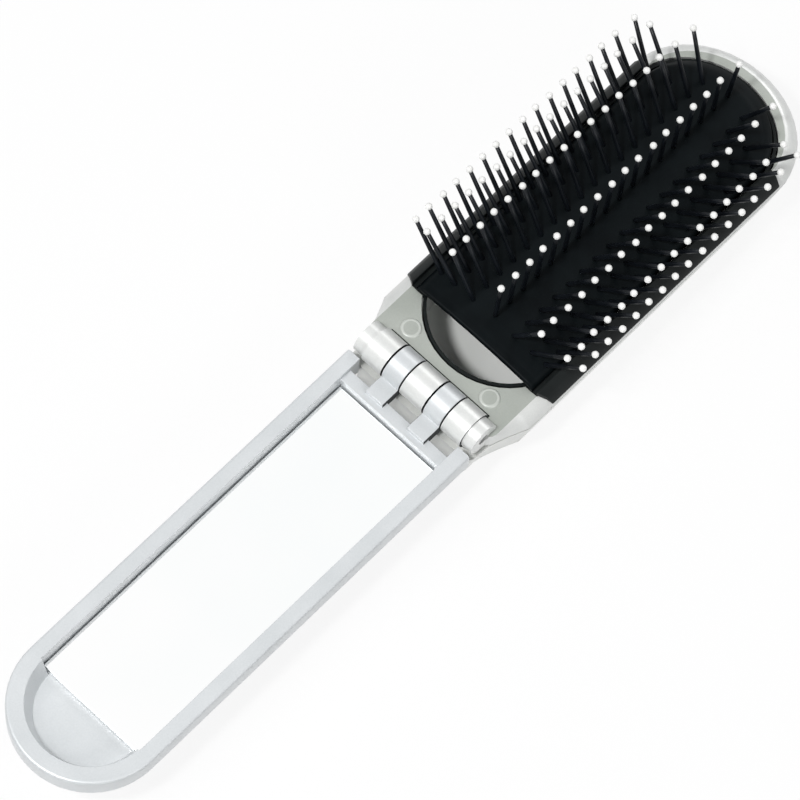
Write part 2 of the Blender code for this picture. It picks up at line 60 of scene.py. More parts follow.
# Places that the frame gives
hinge = next(Vector(joint["pos_m"]) for joint in frame["joints"] if joint["name"] == "fold")
rim_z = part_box("pad_trim")[1].z
pad_low, pad_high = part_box("bristle_pad")
pad_near, pad_far, pad_half_width = pad_low.x, pad_high.x, pad_high.y
flange_low, flange_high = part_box("side_flange_left")
shell_low, shell_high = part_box("back_shell")

# Camera, measured from the hinge axis
camera_from_hinge = Vector((-308.5, -227.3, 874.45)) * MM
camera_looks_along = Vector((0.3186, 0.2398, -0.9171))
camera_up = Vector((0.6513, 0.6476, 0.3956))
camera_lens = 250.35
camera_sensor_width = 36.0
camera_sees_to = 10.0

# Lamps: direction from the hinge, width in metres and power in watts. The key is wide and comes
# from the upper left, the front lamp reaches into the hollow head, the back lamp lights the far
# end from low down, and the side lamp the right walls
lamp_distance = 1.2
LAMPS = {
    "key": (Vector((-0.64, 0.3, 0.75)), 0.6, 3.4),
    "front": (Vector((-0.42, 0.05, 0.9)), 0.15, 7.4),
    "back": (Vector((0.78, 0.1, 0.6)), 0.4, 2.7),
    "side": (Vector((-0.12, -0.8, 0.55)), 0.5, 2.8),
}
white = (1.0, 1.0, 1.0, 1.0)
fill_colour = (0.97, 0.985, 1.0, 1.0)
fill_strength = 0.22
floor_reach = 3.0
floor_shadow_share = 0.12

# Soft pad: its arch and its rolled sides
pad_far_depth = 11.3 * MM
pad_crown = 2.6 * MM
pad_side_drop = 0.8 * MM
pad_thickness = 0.9 * MM
pad_edge_roll = 1.5 * MM
side_lip_drop = 1.5 * MM
pad_columns = 60
pad_top_steps = 12

# Outlines of the pad's rolled lip, from its near edge, and of its far edge, which turns down to
# the outline's end: places along and up from the top, in mm
PAD_LIP = (
    (0.0, -0.62), (0.04, -0.3), (0.2, -0.06), (0.45, 0.0), (0.8, -0.04), (1.25, -0.12),
    (1.8, -0.06), (2.5, 0.0))
PAD_FAR_EDGE = (
    (-3.2, 0.0), (-2.5, -0.06), (-1.9, -0.2), (-1.3, -0.48), (-0.7, -0.82), (-0.25, -1.12),
    (0.0, -1.3))

# Black shoulder films, which join the pad's sides to the flanges over the frame's flat. The left
# one's outline: along from the pad's near edge and out from the middle, in mm
film_thickness = 0.2 * MM
film_depth = 0.8 * MM
FILM_OUTLINE = ((0.05, 11.7), (0.0, 13.2), (0.1, 14.9), (12.0, 14.9), (12.0, 14.0), (4.0, 13.0))
flange_end_slant = 1.7 * MM

# Hinge
barrel_radius = 3.6 * MM
ear_end = 13.9 * MM
ear_round = 0.8 * MM
ear_segments = 4
knuckles_reach = 11.6 * MM
gap_shade_past_barrel = 0.5 * MM
parting_width = 0.46 * MM
parting_depth = 0.8 * MM

# Studs. The outline of a staked head is in shares of its radius and its rise
stud_middle = Vector((6.4, 9.3, 0.0)) * MM
stud_head_radius = 1.95 * MM
stud_head_rise = 0.32 * MM
stud_head_sides = 36
STUD_HEAD = ((0.62, 0.82), (0.72, 1.0), (0.84, 0.96), (0.94, 0.6), (1.0, 0.0), (0.8, -1.0))

# Hollow of the shell
shell_floor = 1.2 * MM
hollow_from_hinge = 5.5 * MM

# Rounded edges of the hard pieces
plate_edge = 0.22 * MM
shell_edge = 0.2 * MM
handle_edge = 0.4 * MM
trim_edge = 0.12 * MM
flange_edge = 0.22 * MM
glass_edge = 0.15 * MM
edge_segments = 3
rounded_from_degrees = 38

# Shading: edges sharper than this stay creases
crease_degrees = 40.0
pad_crease_degrees = 50.0
small_crease_degrees = 60.0
wide_face_weight = 100

# How the faces and edges of a CAD piece are told apart: how near a place has to lie, and how much
# of a face's normal has to point up or sideways
same_point = 0.002 * MM
same_plane_degrees = 0.5
rim_from_degrees = 50
on_ear_end = 0.02 * MM
on_plate_flat = 0.05 * MM
on_flange_end = 0.1 * MM
plate_faces_up = 0.99
floor_faces_up = 0.7
knuckle_faces_sideways = 0.95

# Places in a piece's list of finishes, after its main one; the third holds the knuckle gaps'
# painted shade
SECOND_FINISH = 1
KNUCKLE_GAP_SHADE = 2

# Pins. Each turns by up to the scatter, in radians, from where its row's numbers put it
shaft_root_radius = 0.5 * MM
shaft_neck_radius = 0.37 * MM
shaft_sides = 12
shaft_segments = 3
ball_radius = 0.65 * MM
ball_sides = 14
ball_rings = 9
pin_foot = 0.5 * MM
far_pin_lean = 1.5 * MM
lean_falls_by = 0.85
roll_scatter = 0.012
lean_scatter = 0.008

# Strips that the pins are moulded on, and the trunnions that the side rows turn on
strip_half_width = 0.8 * MM
strip_thickness = 1.0 * MM
strip_end = 0.9 * MM
strip_edge = 0.18 * MM
side_strip_sunk = 1.9 * MM
centre_strip_sunk = 1.2 * MM
trunnion_radius = 0.4 * MM
trunnion_length = 0.8 * MM
trunnion_sides = 20

# Rows: the body that carries each, its first pin's place along from the hinge and out from the
# middle, count, pitch, length above the pad, splay in degrees, how far the first pin's tip leans
# to the far end, how much more the last one's does, and how many degrees the splay falls from
# first to last. The photo's tips give the leans, and no two rows are quite alike
PinRow = namedtuple(
    "PinRow", "body first out count pitch length splay first_lean lean_grows splay_falls")
PIN_ROWS = {
    "pin_row_centre": PinRow(
        "carrier", 17.5 * MM, 0.0, 18, 3.5 * MM, 11.2 * MM, 0.0, 0.5 * MM, -0.4 * MM, 0.0),
    "pin_row_inner_left": PinRow(
        "row_inner_left", 17.0 * MM, 4.9 * MM, 18, 3.44 * MM, 12.1 * MM, 31.5, 0.4 * MM, 1.2 * MM,
        0.0),
    "pin_row_middle_left": PinRow(
        "row_middle_left", 17.0 * MM, 9.2 * MM, 17, 3.42 * MM, 12.3 * MM, 42.0, 0.7 * MM,
        0.4 * MM, 0.0),
    "pin_row_outer_left": PinRow(
        "row_outer_left", 17.0 * MM, 12.3 * MM, 17, 3.3 * MM, 12.9 * MM, 37.3, 0.7 * MM, 1.0 * MM,
        0.0),
    "pin_row_inner_right": PinRow(
        "row_inner_right", 17.0 * MM, -4.9 * MM, 18, 3.44 * MM, 11.5 * MM, -28.0, 0.0, 0.0, 3.0),
    "pin_row_middle_right": PinRow(
        "row_middle_right", 17.0 * MM, -9.2 * MM, 17, 3.42 * MM, 12.2 * MM, -37.0, 0.1 * MM,
        -0.3 * MM, 4.0),
    "pin_row_outer_right": PinRow(
        "row_outer_right", 17.0 * MM, -12.3 * MM, 17, 3.3 * MM, 12.4 * MM, -36.0, 0.6 * MM,
        1.6 * MM, 2.5),
}


def linear(hex_colour):
    """An sRGB hex colour as the linear colour that a shader takes."""
    shares = [int(hex_colour[at:at + 2], 16) / 255 for at in (1, 3, 5)]
    return [share / 12.92 if share <= 0.04045 else ((share + 0.055) / 1.055) ** 2.4
            for share in shares] + [1.0]


def add_node(tree, kind, takes=None, gives=None, stops=(), **settings):
    """Add a node with its settings and links. takes says what its inputs take, each a plain value
    or another node's output, gives says which inputs its outputs go to, and stops are the two
    ends of a colour ramp, each a place and an sRGB hex colour."""
    node = tree.nodes.new(kind)
    for name, value in settings.items():
        setattr(node, name, value)
    for number, (place, colour) in enumerate(stops):
        node.color_ramp.elements[number].position = place
        node.color_ramp.elements[number].color = linear(colour)
    for socket, value in (takes or {}).items():
        if isinstance(value, bpy.types.NodeSocket):
            tree.links.new(value, node.inputs[socket])
        else:
            node.inputs[socket].default_value = value
    for socket, target in (gives or {}).items():
        tree.links.new(node.outputs[socket], target)
    return node


def new_material(name, roughness, metallic=0.0, coat=0.0, gloss=0.5):
    """A material with its tree, its shader's inputs and the place of each point on the piece."""
    material = bpy.data.materials.new(name)
    material.use_nodes = True
    tree = material.node_tree
    shader = tree.nodes["Principled BSDF"].inputs
    shader["Roughness"].default_value = roughness
    shader["Metallic"].default_value = metallic
    shader["Coat Weight"].default_value = coat
    shader["Specular IOR Level"].default_value = gloss
    place = add_node(tree, "ShaderNodeTexCoord").outputs["Object"]
    return material, tree, shader, place


# Silver paint sprayed on moulded ABS: fine metal flakes under a satin lacquer, so it is pale, a
# little mottled, and its highlights are wide and soft. The flakes are drawn about ten times their
# real size, so that they show
def silver_paint(name, pale, deep, roughness):
    cloud_size, flake_size, peel_size, peel_depth = 9 * MM, 0.28 * MM, 0.9 * MM, 0.02 * MM
    flake_share, smoother_by, rougher_by, lacquer_roughness = 0.35, 0.05, 0.07, 0.3
    material, tree, shader, place = new_material(name, roughness, metallic=0.14, coat=0.3)
    shader["Coat Roughness"].default_value = lacquer_roughness
    cloud = add_node(tree, "ShaderNodeTexNoise", {
        "Vector": place, "Scale": 1 / cloud_size, "Detail": 3.0}).outputs["Fac"]
    flake = add_node(tree, "ShaderNodeTexNoise", {
        "Vector": place, "Scale": 1 / flake_size, "Detail": 1.0}).outputs["Fac"]
    both = add_node(tree, "ShaderNodeMix", {
        0: flake_share, 2: cloud, 3: flake}, data_type="FLOAT").outputs[0]
    add_node(tree, "ShaderNodeValToRGB", {"Fac": both}, {"Color": shader["Base Color"]},
             stops=((0.3, deep), (0.7, pale)))
    add_node(tree, "ShaderNodeMapRange", {
        "Value": flake, "To Min": roughness - smoother_by, "To Max": roughness + rougher_by},
        {"Result": shader["Roughness"]})
    peel = add_node(tree, "ShaderNodeTexNoise", {
        "Vector": place, "Scale": 1 / peel_size, "Detail": 2.0}).outputs["Fac"]
    add_node(tree, "ShaderNodeBump", {"Height": peel, "Distance": peel_depth, "Strength": 0.35},
             {"Normal": shader["Normal"]})
    return material


# Moulded black ABS, nylon and rubber: nearly black, with a satin skin that has a faint grain from
# the mould, drawn a few times as coarse as the real one, so that it shows
def black_moulding(name, colour, worn, roughness, grain_size, grain_depth, gloss):
    cloud_size, smoother_by, rougher_by = 6 * MM, 0.06, 0.08
    material, tree, shader, place = new_material(name, roughness, gloss=gloss)
    cloud = add_node(tree, "ShaderNodeTexNoise", {
        "Vector": place, "Scale": 1 / cloud_size, "Detail": 3.0}).outputs["Fac"]
    add_node(tree, "ShaderNodeValToRGB", {"Fac": cloud}, {"Color": shader["Base Color"]},
             stops=((0.35, colour), (0.75, worn)))
    add_node(tree, "ShaderNodeMapRange", {
        "Value": cloud, "To Min": roughness - smoother_by, "To Max": roughness + rougher_by},
        {"Result": shader["Roughness"]})
    grain = add_node(tree, "ShaderNodeTexNoise", {
        "Vector": place, "Scale": 1 / grain_size, "Detail": 2.0}).outputs["Fac"]
    add_node(tree, "ShaderNodeBump", {"Height": grain, "Distance": grain_depth, "Strength": 0.4},
             {"Normal": shader["Normal"]})
    return material


# Moulded ABS inside the shell's hollow: pale and matt, with a little flow marking. Its paleness is
# painted light, standing in for the light that reaches deep into the hollow
def pale_hollow_paint():
    flow_size, grain_size, grain_depth = 14 * MM, 0.5 * MM, 0.01 * MM
    material, tree, shader, place = new_material("pale_abs_hollow_painted_light", 0.55)
    flow = add_node(tree, "ShaderNodeTexNoise", {
        "Vector": place, "Scale": 1 / flow_size, "Detail": 2.0}).outputs["Fac"]
    add_node(tree, "ShaderNodeValToRGB", {"Fac": flow}, {"Color": shader["Base Color"]},
             stops=((0.3, "#E6E9E5"), (0.7, "#F1F3F0")))
    grain = add_node(tree, "ShaderNodeTexNoise", {
        "Vector": place, "Scale": 1 / grain_size, "Detail": 2.0}).outputs["Fac"]
    add_node(tree, "ShaderNodeBump", {"Height": grain, "Distance": grain_depth, "Strength": 0.3},
             {"Normal": shader["Normal"]})
    return material


# Smooth finishes whose colour hardly wanders: dipped resin, silvered glass, bare grey ABS
def even_finish(name, roughness, tint_size, low, high, metallic=0.0, gloss=0.5):
    material, tree, shader, place = new_material(name, roughness, metallic=metallic, gloss=gloss)
    tint = add_node(tree, "ShaderNodeTexNoise", {
        "Vector": place, "Scale": 1 / tint_size, "Detail": 2.0}).outputs["Fac"]
    add_node(tree, "ShaderNodeValToRGB", {"Fac": tint}, {"Color": shader["Base Color"]},
             stops=((0.3, low), (0.7, high)))
    return material


# Drawn steel wire: fine lines along the pin, 25 times as long as they are wide, blur its shine
def drawn_steel():
    line_size, line_depth, line_stretch = 0.12 * MM, 0.01 * MM, 25
    material, tree, shader, place = new_material("drawn_steel_wire", 0.28, metallic=1.0)
    along = add_node(tree, "ShaderNodeMapping", {
        "Vector": place, "Scale": (1.0, 1 / line_stretch, 1.0)}).outputs["Vector"]
    lines = add_node(tree, "ShaderNodeTexNoise", {
        "Vector": along, "Scale": 1 / line_size}).outputs["Fac"]
    add_node(tree, "ShaderNodeValToRGB", {"Fac": lines}, {"Color": shader["Base Color"]},
             stops=((0.3, "#A9A9A8"), (0.7, "#C6C6C4")))
    add_node(tree, "ShaderNodeBump", {"Height": lines, "Distance": line_depth, "Strength": 0.4},
             {"Normal": shader["Normal"]})
    return material


# White foam tape: open cells give it a chalky, pitted surface
def foam_tape():
    cell_size, cell_depth = 0.35 * MM, 0.05 * MM
    material, tree, shader, place = new_material("white_foam_tape", 0.85)
    cells = add_node(tree, "ShaderNodeTexVoronoi", {
        "Vector": place, "Scale": 1 / cell_size}).outputs["Distance"]
    add_node(tree, "ShaderNodeValToRGB", {"Fac": cells}, {"Color": shader["Base Color"]},
             stops=((0.1, "#D6D5CF"), (0.6, "#F0EFEA")))
    add_node(tree, "ShaderNodeBump", {"Height": cells, "Distance": cell_depth, "Strength": 0.6},
             {"Normal": shader["Normal"]})
    return material


# The head's silver paint in lit and shaded copies: this lighter one, on the knuckles, ears and
# rounded edges, is painted light
head_silver_painted_light = silver_paint("silver_paint_head_painted_light", "#E3E4E2", "#D5D7D5", 0.34)
# The darker copy on the plate's flat is painted shade, where the flat catches little light
plate_silver_painted_shade = silver_paint("silver_paint_plate_painted_shade", "#AFB3AD", "#A2A7A0", 0.42)
# The stud heads' copy, between the two, is painted light that brightens their rims
stud_silver_painted_light = silver_paint("silver_paint_studs_painted_light", "#C6CAC4", "#BABEB8", 0.42)
shell_silver = silver_paint("bright_silver_paint_shell", "#DFE0DD", "#D0D2CE", 0.38)
handle_silver = silver_paint("bright_silver_paint_handle", "#D6D9DB", "#C9CDCF", 0.36)
pad_rubber = black_moulding(
    "satin_black_rubber_pad", "#090D0F", "#101517", 0.42, 0.5 * MM, 0.012 * MM, 0.05)
trim_black = black_moulding(
    "satin_black_abs_trim", "#0F1313", "#181C1C", 0.4, 0.4 * MM, 0.01 * MM, 0.12)
pin_nylon = black_moulding(
    "glossy_black_nylon_pins", "#0C0F13", "#15191E", 0.3, 0.6 * MM, 0.01 * MM, 0.2)
carrier_acetal = black_moulding(
    "matt_black_acetal_carrier", "#1A1C1D", "#242627", 0.5, 0.4 * MM, 0.01 * MM, 0.2)
hollow_painted_light = pale_hollow_paint()
# Dark grey on the knuckles' side faces: painted shade in the narrow gaps between the knuckles
knuckle_gap_painted_shade = even_finish(
    "dark_grey_knuckle_gap_painted_shade", 0.6, 3 * MM, "#2C2F30", "#383B3C", gloss=0.2)
# White dipped tips: smooth drops of resin, so each has a small clean highlight
tip_resin = even_finish("white_dipped_resin_tips", 0.3, 1.2 * MM, "#F1F1EE", "#FBFBFA")
# Silvered glass: the silver gives all the colour back, with hardly any blur
mirror_silver = even_finish(
    "silvered_mirror_glass", 0.02, 30 * MM, "#FAFCFC", "#FEFEFE", metallic=1.0)
steel_wire = drawn_steel()
tape_foam = foam_tape()


def new_piece(name, builder, *materials, crease=crease_degrees):
    """Make a piece of what the builder holds, with its faces turned outwards."""
    mesh = bpy.data.meshes.new(name)
    bmesh.ops.recalc_face_normals(builder, faces=builder.faces)
    builder.to_mesh(mesh)
    builder.free()
    mesh.shade_smooth()
    mesh.set_sharp_from_angle(angle=math.radians(crease))
    for material in materials:
        mesh.materials.append(material)
    piece = bpy.data.objects.new(name, mesh)
    bpy.context.scene.collection.objects.link(piece)
    return piece


def settle(piece):
    """Turn a piece with live modifiers into a plain mesh."""
    bpy.context.view_layer.update()
    shown = piece.evaluated_get(bpy.context.evaluated_depsgraph_get())
    mesh = bpy.data.meshes.new_from_object(shown)
    piece.modifiers.clear()
    piece.data = mesh


def stand_in(piece, node, body):
    """Show the piece in the CAD node's place, on its body."""
    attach(piece, body)
    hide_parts(node)


def add_block(builder, middle, size):
    """Add a plain block to what the builder holds."""
    bmesh.ops.create_cube(
        builder, size=1.0, matrix=Matrix.Translation(middle) @ Matrix.Diagonal((*size, 1)))


def loft(rings):
    """Skin closed loops that hold the same number of points, and close both ends."""
    builder = bmesh.new()
    loops = [[builder.verts.new(point) for point in ring] for ring in rings]
    for lower, upper in zip(loops, loops[1:]):
        for index in range(len(lower)):
            following = (index + 1) % len(lower)
            builder.faces.new((lower[index], lower[following], upper[following], upper[index]))
    builder.faces.new(list(reversed(loops[0])))
    builder.faces.new(loops[-1])
    return builder


def softened(node, materials, edge, shape):
    """A copy of a hard CAD piece whose edges are rounded as the mould and the paint round them."""
    builder = bmesh.new()
    builder.from_mesh(frame["nodes"][node].data)
    bmesh.ops.remove_doubles(builder, verts=builder.verts, dist=same_point)
    bmesh.ops.dissolve_limit(builder, angle_limit=math.radians(same_plane_degrees),
                             verts=builder.verts, edges=builder.edges)
    if shape:
        shape(builder)
    piece = new_piece(f"{node}_finished", builder, *materials)
    if edge:
        rounding = piece.modifiers.new("moulded edges", "BEVEL")
        rounding.width = edge
        rounding.segments = edge_segments
        rounding.limit_method = "ANGLE"
        rounding.angle_limit = math.radians(rounded_from_degrees)
        rounding.harden_normals = False
        rounding.use_clamp_overlap = True
        settle(piece)
    return piece


def even_shading(piece):
    """Keep wide flat faces flat where they meet rounded edges."""
    piece.data.set_sharp_from_angle(angle=math.radians(crease_degrees))
    weighting = piece.modifiers.new("flat faces stay flat", "WEIGHTED_NORMAL")
    weighting.weight = wide_face_weight
    weighting.keep_sharp = True
    settle(piece)


def finish_hard_piece(node, body, materials, edge, shape=None, cut=None):
    """Shape, round, cut and shade a copy of a hard CAD piece, and let it stand in for the node."""
    piece = softened(node, materials, edge, shape)
    if cut:
        cut(piece)
    even_shading(piece)
    stand_in(piece, node, body)


def from_axis(place):
    """How far a place lies from the hinge axis."""
    return math.hypot(place.x - hinge.x, place.z - hinge.z)


def mark_knuckle_gap_shade(builder):
    """Mark the knuckles' side faces, across the narrow gaps between knuckles, for their dark
    painted shade.
    """
    for face in builder.faces:
        centre = face.calc_center_median()
        if (abs(face.normal.y) > knuckle_faces_sideways and abs(centre.y) < knuckles_reach
                and from_axis(centre) < barrel_radius + gap_shade_past_barrel):
            face.material_index = KNUCKLE_GAP_SHADE


def shape_plate(builder):
    """Round the outer ends of the hinge's ears; mark the plate's flat and knuckle gaps for painted
    shade.
    """
    rims = [edge for edge in builder.edges
            if edge.calc_face_angle(0) > math.radians(rim_from_degrees)
            and all(abs(abs(corner.co.y) - ear_end) < on_ear_end
                    and from_axis(corner.co) < barrel_radius for corner in edge.verts)]
    bmesh.ops.bevel(builder, geom=rims, offset=ear_round, segments=ear_segments, affect="EDGES",
                    clamp_overlap=True)
    for face in builder.faces:
        if (face.normal.z > plate_faces_up
                and abs(face.calc_center_median().z - rim_z) < on_plate_flat):
            face.material_index = SECOND_FINISH
    mark_knuckle_gap_shade(builder)


def cut_parting_line(piece):
    """The thin dark line that the mould leaves between the head's knuckles and its plate."""
    builder = bmesh.new()
    add_block(builder, (hinge.x + barrel_radius + parting_width / 2, 0, rim_z),
              (parting_width, 2 * knuckles_reach, 2 * parting_depth))
    cutter = new_piece("parting_line_cutter", builder, knuckle_gap_painted_shade)
    cut = piece.modifiers.new("parting line", "BOOLEAN")
    cut.operation = "DIFFERENCE"
    cut.solver = "EXACT"
    cut.object = cutter
    settle(piece)
    bpy.data.objects.remove(cutter)


def mark_hollow(builder):
    """Mark the walls and the floor of the shell's hollow, which get the pale painted light."""
    middle = (shell_low + shell_high) / 2
    for face in builder.faces:
        centre = face.calc_center_median()
        from_middle = centre - middle
        from_middle.z = 0
        wall = face.normal.dot(from_middle) < 0 and abs(face.normal.z) < floor_faces_up
        floor = face.normal.z > floor_faces_up and centre.z < rim_z / 2
        if ((wall or floor) and centre.z > shell_floor / 2
                and centre.x > hinge.x + hollow_from_hinge):
            face.material_index = SECOND_FINISH


def slant_near_end(builder):
    """A flange's near end runs back towards its outer edge."""
    for corner in builder.verts:
        if corner.co.x < flange_low.x + on_flange_end:
            share = (abs(corner.co.y) - flange_low.y) / (flange_high.y - flange_low.y)
            corner.co.x += flange_end_slant * share


def make_stud_head(side, node):
    """A stud's staked head: a low dome with a soft rim that covers its hole."""
    turns = [math.tau * step / stud_head_sides for step in range(stud_head_sides)]
    rings = []
    for share, rise in STUD_HEAD:
        radius = stud_head_radius * share
        rings.append([(hinge.x + stud_middle.x + radius * math.cos(turn),
                       side * stud_middle.y + radius * math.sin(turn),
                       rim_z + stud_head_rise * rise) for turn in turns])
    # The head's lighter silver is painted light on its rim
    head = new_piece(f"{node}_staked_head", loft(rings), stud_silver_painted_light, crease=small_crease_degrees)
    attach(head, "head")


def make_shoulder_film(side, hand):
    """A thin black film over the frame's flat, which joins the pad's side to the flange as one
    moulding does."""
    rings = [[(pad_near + along * MM, side * out * MM, rim_z + up) for along, out in FILM_OUTLINE]
             for up in (-film_depth, film_thickness)]
    film = new_piece(
        f"pad_shoulder_film_{hand}", loft(rings), trim_black, crease=small_crease_degrees)
    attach(film, "head")


def make_hard_pieces():
    """The moulded and metal pieces, most of them from the CAD's own forms with rounded edges."""
    finish_hard_piece("head_frame", "head",
                      (head_silver_painted_light, plate_silver_painted_shade, knuckle_gap_painted_shade), plate_edge, shape_plate,
                      cut_parting_line)
    # The hollow's walls and floor take the pale painted light
    finish_hard_piece("back_shell", "head",
                      (shell_silver, hollow_painted_light), shell_edge, mark_hollow)
    # The handle has one paint, which fills the first two places in its list; the third is the
    # painted shade in its knuckles' gaps
    finish_hard_piece("handle_frame", "handle",
                      (handle_silver, handle_silver, knuckle_gap_painted_shade), handle_edge,
                      mark_knuckle_gap_shade)
    make_stud_head(1, "frame_stud_left")
    make_stud_head(-1, "frame_stud_right")
    make_shoulder_film(1, "left")
    make_shoulder_film(-1, "right")
    # The studs' shanks take the plate's darker copy of the silver, its painted shade
    for hand in ("left", "right"):
        finish_hard_piece(f"frame_stud_{hand}", "head", (plate_silver_painted_shade,), 0.0)
    finish_hard_piece("pad_trim", "head", (trim_black,), trim_edge)
    for hand in ("left", "right"):
        finish_hard_piece(f"side_flange_{hand}", "head", (trim_black,), flange_edge,
                          slant_near_end)
    finish_hard_piece("mirror_glass", "handle", (mirror_silver,), glass_edge)
    for node, material in (
            ("hinge_pin", steel_wire), ("pin_carrier", carrier_acetal), ("mirror_tape", tape_foam)):
        for slot in frame["nodes"][node].material_slots:
            slot.material = material


def pad_height(y):
    """How high the pad's arch stands over the rim, at a place across it."""
    return pad_crown - pad_side_drop * (y / pad_half_width) ** 2


def make_pad():
    """The soft pad: an arched skin with a rolled lip towards the hinge, and edges that turn down.
    The lip under its sides hangs to its full depth within half of their roll."""
    far_middle = pad_far - pad_far_depth
    lip_end = pad_near + PAD_LIP[-1][0] * MM
    rings = []
    for column in range(pad_columns + 1):
        share = math.sin(math.pi / 2 * (2 * column / pad_columns - 1))
        y = pad_half_width * share
        arch_z = rim_z + pad_height(y)
        rolled = max(0, abs(y) - (pad_half_width - pad_edge_roll))
        edge_drop = pad_edge_roll - math.sqrt(max(0, pad_edge_roll ** 2 - rolled ** 2))
        top = arch_z - edge_drop
        under = arch_z - pad_thickness - side_lip_drop * min(1, 2 * rolled / pad_edge_roll)
        far = far_middle + pad_far_depth * math.sqrt(max(0, 1 - share ** 2))
        top_end = far + PAD_FAR_EDGE[0][0] * MM
        ring = [(pad_near + along * MM, y, top + up * MM) for along, up in PAD_LIP]
        ring += [(lip_end + (top_end - lip_end) * step / pad_top_steps, y, top)
                 for step in range(1, pad_top_steps)]
        ring += [(far + along * MM, y, top + up * MM) for along, up in PAD_FAR_EDGE]
        ring += [(far, y, under + PAD_FAR_EDGE[-1][1] * MM), (top_end, y, under),
                 (lip_end, y, under), (pad_near, y, arch_z - pad_thickness)]
        rings.append(ring)
    pad = new_piece("pad_skin", loft(rings), pad_rubber, crease=pad_crease_degrees)
    stand_in(pad, "bristle_pad", "head")
    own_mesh(pad)


def pin_tree():
    """The tree of nodes that sets out a row of tapered shafts with balls on their ends, and the
    identifiers of its inputs."""
    tree = bpy.data.node_groups.new("row of ball-tipped pins", "GeometryNodeTree")
    identifiers = {}
    for kind, names in (
            ("NodeSocketInt", ("Count", "Seed")),
            ("NodeSocketFloat", (
                "Pitch", "Shaft length", "First lean", "Lean grows", "Last lean", "Lean falls by",
                "Twist", "Root radius", "Neck radius", "Ball radius")),
            ("NodeSocketMaterial", ("Shaft material", "Tip material"))):
        for name in names:
            socket = tree.interface.new_socket(name, in_out="INPUT", socket_type=kind)
            identifiers[name] = socket.identifier
    tree.interface.new_socket("Geometry", in_out="OUTPUT", socket_type="NodeSocketGeometry")
    given = add_node(tree, "NodeGroupInput").outputs

    # Each pin's turn, one sum a line: the last pin leans most, and its lean fades in those before
    known = {name: given[name] for name in identifiers}
    known["Index"] = add_node(tree, "GeometryNodeInputIndex").outputs[0]
    for result, operation, first, second in (
            ("Last", "SUBTRACT", "Count", 1.0),
            ("Share", "DIVIDE", "Index", "Last"),
            ("From last", "SUBTRACT", "Last", "Index"),
            ("Faded", "MULTIPLY", "From last", "Lean falls by"),
            ("Left over", "SUBTRACT", 1.0, "Faded"),
            ("Fade", "MAXIMUM", "Left over", 0.0),
            ("Row lean", "MULTIPLY", "Share", "Lean grows"),
            ("End lean", "MULTIPLY", "Fade", "Last lean"),
            ("Both leans", "ADD", "Row lean", "End lean"),
            ("Lean", "ADD", "First lean", "Both leans"),
            ("Slope", "DIVIDE", "Lean", "Shaft length"),
            ("Lean turn", "ARCSINE", "Slope", 0.0),
            ("To middle", "SUBTRACT", 0.5, "Share"),
            ("Roll turn", "MULTIPLY", "Twist", "To middle")):
        known[result] = add_node(tree, "ShaderNodeMath", {
            0: known.get(first, first), 1: known.get(second, second)},
            operation=operation).outputs[0]
    leaning = add_node(tree, "ShaderNodeCombineXYZ", {
        "X": known["Roll turn"], "Y": known["Lean turn"]}).outputs[0]
    scatter = add_node(tree, "FunctionNodeRandomValue", {
        "Min": (-roll_scatter, -lean_scatter, 0.0), "Max": (roll_scatter, lean_scatter, 0.0),
        "Seed": given["Seed"]}, data_type="FLOAT_VECTOR").outputs["Value"]
    rotation = add_node(tree, "ShaderNodeVectorMath", {
        0: scatter, 1: leaning}, operation="ADD").outputs[0]

    # One pin: a shaft, and a ball on it whose faces are marked as the tip
    shaft = add_node(tree, "GeometryNodeMeshCone", {
        "Vertices": shaft_sides, "Side Segments": shaft_segments,
        "Radius Top": given["Neck radius"], "Radius Bottom": given["Root radius"],
        "Depth": given["Shaft length"]}, fill_type="NGON").outputs["Mesh"]
    ball = add_node(tree, "GeometryNodeMeshUVSphere", {
        "Segments": ball_sides, "Rings": ball_rings, "Radius": given["Ball radius"]})
    rise = add_node(tree, "ShaderNodeCombineXYZ", {"Z": given["Shaft length"]})
    raised = add_node(tree, "GeometryNodeTransform", {
        "Geometry": ball.outputs["Mesh"], "Translation": rise.outputs[0]})
    marked = add_node(tree, "GeometryNodeStoreNamedAttribute", {
        "Geometry": raised.outputs["Geometry"], "Name": "tip", "Value": True},
        data_type="BOOLEAN", domain="FACE").outputs["Geometry"]
    joined = add_node(tree, "GeometryNodeJoinGeometry")
    for part in (shaft, marked):
        tree.links.new(part, joined.inputs["Geometry"])
    smooth = add_node(tree, "GeometryNodeSetShadeSmooth", {"Geometry": joined.outputs[0]})

    # The row, in its two materials
    offset = add_node(tree, "ShaderNodeCombineXYZ", {"X": given["Pitch"]}).outputs[0]
    line = add_node(tree, "GeometryNodeMeshLine", {"Count": given["Count"], "Offset": offset})
    row = add_node(tree, "GeometryNodeInstanceOnPoints", {
        "Points": line.outputs["Mesh"], "Instance": smooth.outputs["Geometry"],
        "Rotation": rotation})
    realized = add_node(tree, "GeometryNodeRealizeInstances", {
        "Geometry": row.outputs["Instances"]})
    shafts = add_node(tree, "GeometryNodeSetMaterial", {
        "Geometry": realized.outputs["Geometry"], "Material": given["Shaft material"]})
    is_tip = add_node(tree, "GeometryNodeInputNamedAttribute", {"Name": "tip"},
                      data_type="BOOLEAN").outputs["Attribute"]
    result = add_node(tree, "NodeGroupOutput")
    add_node(tree, "GeometryNodeSetMaterial", {
        "Geometry": shafts.outputs["Geometry"], "Selection": is_tip,
        "Material": given["Tip material"]}, {"Geometry": result.inputs[0]})
    return tree, identifiers


